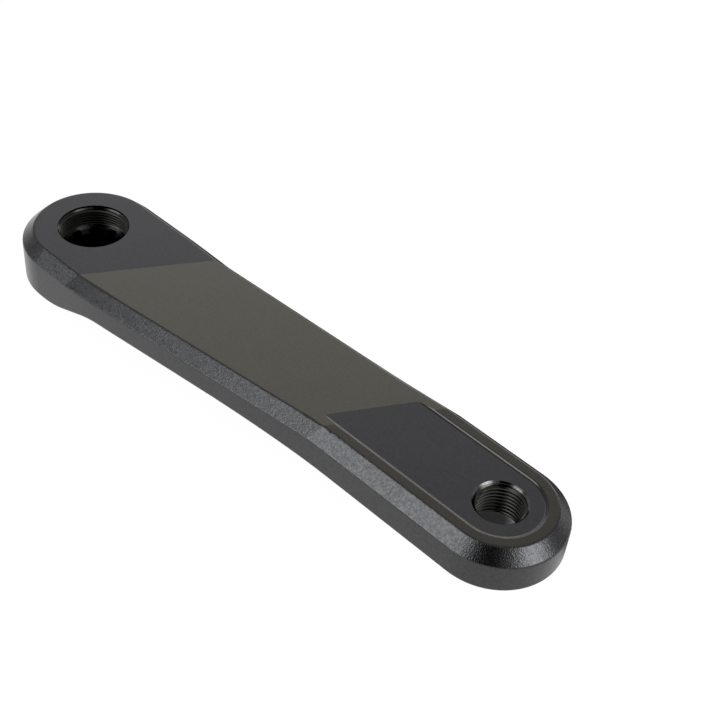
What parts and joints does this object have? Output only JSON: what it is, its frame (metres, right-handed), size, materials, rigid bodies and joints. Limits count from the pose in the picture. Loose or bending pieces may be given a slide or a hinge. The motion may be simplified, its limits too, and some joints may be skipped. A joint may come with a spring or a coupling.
{
  "type": "bicycle crank arm",
  "caption": "Solid bicycle crank arm with a splined spindle socket at its wide end, a threaded pedal hole at its narrow end and a wide bevel round its outer face.",
  "frame": {"origin": "centre of the spindle socket's mouth, on the inner boss face", "axes": "+Z along the spindle away from the bicycle, +X from the spindle axis to the pedal axis, +Y across the arm"},
  "size_m": [0.2117, 0.0454, 0.0325],
  "materials": {
    "grey_anodised": "dark grey anodised, satin on the wall and fine-grained on the bevel"
  },
  "bodies": {
    "root": {"crank_arm": "grey_anodised"}
  },
  "joints": []
}
